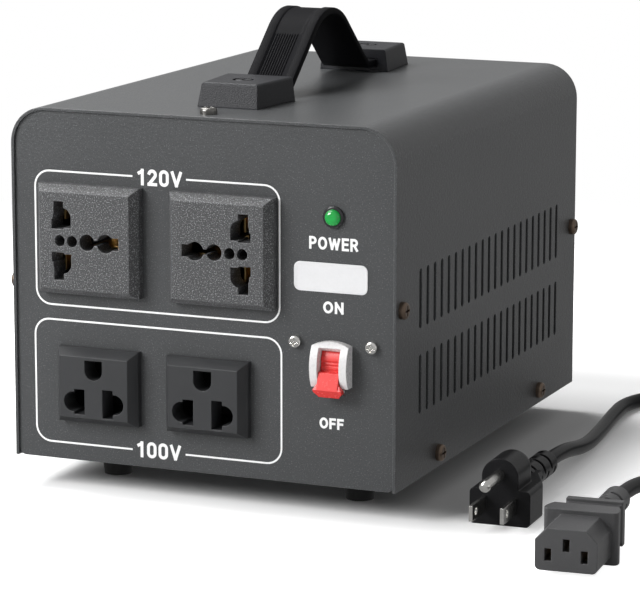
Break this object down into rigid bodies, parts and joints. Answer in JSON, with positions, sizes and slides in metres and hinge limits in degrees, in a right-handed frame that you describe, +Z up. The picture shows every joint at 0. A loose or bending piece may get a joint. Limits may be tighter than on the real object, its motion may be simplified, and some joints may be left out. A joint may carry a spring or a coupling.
{
  "type": "travel voltage converter",
  "caption": "Metal-cased step up and step down voltage converter with a carrying strap, front sockets, a flip breaker, side vents and a loose mains lead.",
  "frame": {"origin": "centre of the bounding box's bottom face without the lead, on the surface that the feet stand on", "axes": "+X to the right of the front, +Y from the front to the back, +Z up"},
  "size_m": [0.3109, 0.3119, 0.191],
  "materials": {
    "case_paint": "fine textured powder coat",
    "steel_plain": "plain steel",
    "screw_bronze": "dark bronze plate",
    "screw_nickel": "bright nickel plate",
    "foot_rubber": "moulded rubber",
    "socket_black": "fine satin moulding",
    "contact_brass": "stamped brass",
    "contact_nickel": "nickel plated brass",
    "lamp_chrome": "bright plate",
    "lamp_green": "clear green moulding",
    "breaker_white": "smooth white moulding",
    "breaker_red": "smooth red moulding",
    "strap_black": "soft moulding",
    "cap_black": "satin moulding",
    "core_steel": "wound strip steel",
    "winding_copper": "enamelled copper under clear tape",
    "terminal_white": "plain moulding",
    "cord_black": "satin sheath"
  },
  "bodies": {
    "case": {"cover": "case_paint", "front_panel": "case_paint", "rear_panel": "case_paint", "base_pan": "case_paint", "cover_screws_left": "screw_bronze", "cover_screws_right": "screw_bronze", "cover_screws_top": "screw_nickel", "foot_screws": "steel_plain", "foot_front_left": "foot_rubber", "foot_front_right": "foot_rubber", "foot_rear_left": "foot_rubber", "foot_rear_right": "foot_rubber", "universal_face_1": "socket_black", "universal_shell_1": "socket_black", "universal_contacts_1": "contact_brass", "universal_face_2": "socket_black", "universal_shell_2": "socket_black", "universal_contacts_2": "contact_brass", "us_face_1": "socket_black", "us_shell_1": "socket_black", "us_contacts_1": "contact_nickel", "us_face_2": "socket_black", "us_shell_2": "socket_black", "us_contacts_2": "contact_nickel", "power_lamp_bezel": "lamp_chrome", "power_lamp_lens": "lamp_green", "breaker_housing": "breaker_white", "breaker_bracket": "steel_plain", "breaker_screws": "screw_nickel", "handle_cap_front": "cap_black", "handle_cap_rear": "cap_black", "handle_screws": "screw_bronze", "handle_strap": "strap_black", "inlet_body": "socket_black", "inlet_pins": "contact_nickel", "inlet_screws": "screw_nickel", "selector_body": "cap_black", "selector_screws": "screw_nickel", "toroid_core": "core_steel", "toroid_winding": "winding_copper", "toroid_pad_lower": "foot_rubber", "toroid_pad_upper": "foot_rubber", "toroid_washer": "steel_plain", "toroid_bolt": "steel_plain", "toroid_nut": "steel_plain", "terminal_block": "terminal_white", "plug_body": "cord_black", "plug_pins": "contact_nickel", "connector_body": "cord_black", "connector_contacts": "contact_brass", "cord_plug_run": "cord_black", "cord_coil": "cord_black", "cord_connector_run": "cord_black", "cord_tie": "strap_black"},
    "breaker_lever": {"breaker_lever": "breaker_red"},
    "strap_tongue_front": {"strap_tongue_front": "strap_black"},
    "strap_tongue_rear": {"strap_tongue_rear": "strap_black"},
    "selector_slider": {"selector_slider": "breaker_red"}
  },
  "joints": [
    {"name": "breaker_turn", "type": "hinge", "parent": "case", "child": "breaker_lever", "pos_m": [0.05735, -0.099, 0.0619], "axis": [-1, 0, 0], "range_deg": [0, 36]},
    {"name": "strap_front_slide", "type": "slide", "parent": "case", "child": "strap_tongue_front", "axis": [0, -1, 0], "range_m": [0, 0.008], "deforming": ["handle_strap"]},
    {"name": "strap_rear_slide", "type": "slide", "parent": "case", "child": "strap_tongue_rear", "axis": [0, 1, 0], "range_m": [0, 0.008]},
    {"name": "selector_slide", "type": "slide", "parent": "case", "child": "selector_slider", "axis": [1, 0, 0], "range_m": [0, 0.005]}
  ],
  "couplings": [
    {"joint": "strap_rear_slide", "follows": "strap_front_slide", "ratio": 1}
  ]
}
